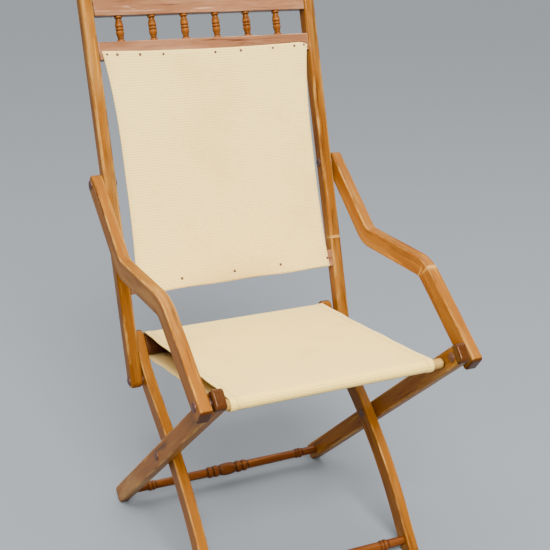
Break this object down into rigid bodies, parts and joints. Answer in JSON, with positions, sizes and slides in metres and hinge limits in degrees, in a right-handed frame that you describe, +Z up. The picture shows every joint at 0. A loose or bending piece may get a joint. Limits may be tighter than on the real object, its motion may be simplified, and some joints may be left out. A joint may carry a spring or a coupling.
{
  "type": "folding deck chair",
  "caption": "Folding wooden deck chair with crossed legs, cranked arms, a hinged back with turned spindles, and canvas seat and back.",
  "frame": {"origin": "middle of the bounding box on the floor, under the open chair", "axes": "+Z up, -Y the way the chair faces, +X to the right for someone who stands in front of the chair"},
  "size_m": [0.546, 0.6519, 1.065],
  "materials": {
    "honey_wood": "varnished, worn at the edges",
    "turned_dark_wood": "varnished, turned on a lathe",
    "turned_amber_wood": "varnished, turned on a lathe",
    "pinkish_rail_wood": "varnished, mottled",
    "bare_pale_wood": "unvarnished",
    "cream_canvas": "plain woven canvas with fine cross ribs",
    "aged_iron": "browned iron, dull"
  },
  "bodies": {
    "rear_leg_frame": {"rear_leg_left": "honey_wood", "rear_leg_right": "honey_wood", "rear_stretcher": "turned_dark_wood", "seat_front_rail": "bare_pale_wood", "arm_rivet_left": "aged_iron", "arm_rivet_right": "aged_iron", "cross_rivet_left": "aged_iron", "cross_rivet_right": "aged_iron", "arm_front_washers": "aged_iron"},
    "front_leg_frame": {"front_leg_left": "honey_wood", "front_leg_right": "honey_wood", "front_stretcher": "turned_dark_wood", "seat_rear_rail": "honey_wood", "seat_canvas": "cream_canvas", "back_rivet_left": "aged_iron", "back_rivet_right": "aged_iron", "cross_washers": "aged_iron", "back_washers": "aged_iron"},
    "back_frame": {"back_stile_left": "honey_wood", "back_stile_right": "honey_wood", "crest_rail": "pinkish_rail_wood", "spindle_rail": "pinkish_rail_wood", "lower_back_rail": "pinkish_rail_wood", "spindle_1": "turned_amber_wood", "spindle_2": "turned_amber_wood", "spindle_3": "turned_amber_wood", "spindle_4": "turned_amber_wood", "spindle_5": "turned_amber_wood", "spindle_6": "turned_amber_wood", "back_canvas": "cream_canvas", "top_tacks": "aged_iron", "bottom_tacks": "aged_iron", "stile_nut_left": "aged_iron", "stile_nut_right": "aged_iron", "arm_top_washers": "aged_iron"},
    "left_arm": {"arm_left": "honey_wood", "arm_bolt_left": "aged_iron"},
    "right_arm": {"arm_right": "honey_wood", "arm_bolt_right": "aged_iron"}
  },
  "joints": [
    {"name": "fold", "type": "hinge", "parent": "rear_leg_frame", "child": "front_leg_frame", "pos_m": [0, -0.03101, 0.228], "axis": [1, 0, 0], "range_deg": [0, 88], "deforming": ["seat_canvas"]},
    {"name": "back_swing", "type": "hinge", "parent": "front_leg_frame", "child": "back_frame", "pos_m": [0, 0.10699, 0.328], "axis": [-1, 0, 0], "range_deg": [0, 175.65]},
    {"name": "left_arm_swing", "type": "hinge", "parent": "rear_leg_frame", "child": "left_arm", "pos_m": [0, -0.29817, 0.4428], "axis": [-1, 0, 0], "range_deg": [0, 43.16]},
    {"name": "right_arm_swing", "type": "hinge", "parent": "rear_leg_frame", "child": "right_arm", "pos_m": [0, -0.29817, 0.4428], "axis": [-1, 0, 0], "range_deg": [0, 43.16]}
  ],
  "couplings": [
    {"joint": "back_swing", "follows": "fold", "ratio": 1.9959},
    {"joint": "left_arm_swing", "follows": "fold", "ratio": 0.49032},
    {"joint": "right_arm_swing", "follows": "fold", "ratio": 0.49032}
  ]
}
